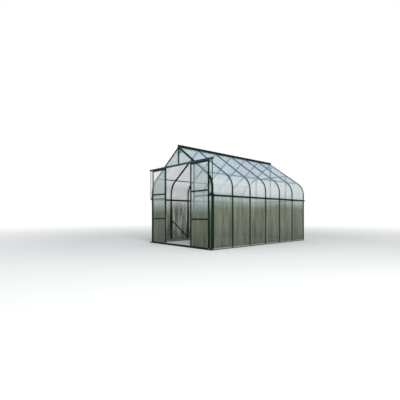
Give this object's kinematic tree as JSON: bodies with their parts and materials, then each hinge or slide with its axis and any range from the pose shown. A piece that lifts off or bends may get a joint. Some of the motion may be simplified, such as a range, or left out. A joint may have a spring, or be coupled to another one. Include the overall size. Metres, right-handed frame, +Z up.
{
  "type": "polycarbonate greenhouse",
  "caption": "Walk-in greenhouse with curved eaves, clad in see-through twin-wall sheets on bent dark green ribs, with sliding doors in the front gable.",
  "frame": {"origin": "middle of the whole plan at ground level, under the ridge", "axes": "+X to the right as seen from the doors, +Y from the door gable to the back gable, +Z up"},
  "size_m": [2.4366, 3.8246, 2.435],
  "materials": {
    "green_frame": "satin powder coat",
    "clear_sheet": "twin-wall sheet with fine ribs",
    "zinc_hanger": "zinc plated"
  },
  "bodies": {
    "house": {"arch_rib_1": "green_frame", "arch_rib_2": "green_frame", "arch_rib_3": "green_frame", "arch_rib_4": "green_frame", "arch_rib_5": "green_frame", "arch_rib_6": "green_frame", "arch_rib_7": "green_frame", "back_lower_sheets": "clear_sheet", "back_peak_sheets": "clear_sheet", "back_posts": "green_frame", "back_upper_sheets": "clear_sheet", "base_ends": "green_frame", "base_sides": "green_frame", "door_jambs": "green_frame", "door_rail": "green_frame", "door_track": "green_frame", "eave_brackets": "green_frame", "eave_joiners": "green_frame", "eave_rails": "green_frame", "front_lower_sheets": "clear_sheet", "front_peak_sheets": "clear_sheet", "front_upper_sheets": "clear_sheet", "gable_rails": "green_frame", "king_posts": "green_frame", "purlins": "green_frame", "rail_struts": "green_frame", "ridge_bar": "green_frame", "roof_sheets_1": "clear_sheet", "roof_sheets_2": "clear_sheet", "roof_sheets_3": "clear_sheet", "roof_sheets_4": "clear_sheet", "roof_sheets_5": "clear_sheet", "roof_sheets_6": "clear_sheet", "tie_beams": "green_frame", "wall_brace": "green_frame", "wall_sheets_left": "clear_sheet", "wall_sheets_right": "clear_sheet"},
    "left_door": {"left_door_stiles": "green_frame", "left_door_rails": "green_frame", "left_door_sheets": "clear_sheet", "left_door_hangers": "zinc_hanger"},
    "right_door": {"right_door_stiles": "green_frame", "right_door_rails": "green_frame", "right_door_sheets": "clear_sheet", "right_door_hangers": "zinc_hanger"}
  },
  "joints": [
    {"name": "left_door_slide", "type": "slide", "parent": "house", "child": "left_door", "axis": [-1, 0, 0], "range_m": [-0.478, 0.07]},
    {"name": "right_door_slide", "type": "slide", "parent": "house", "child": "right_door", "axis": [1, 0, 0], "range_m": [-0.478, 0.07]}
  ]
}
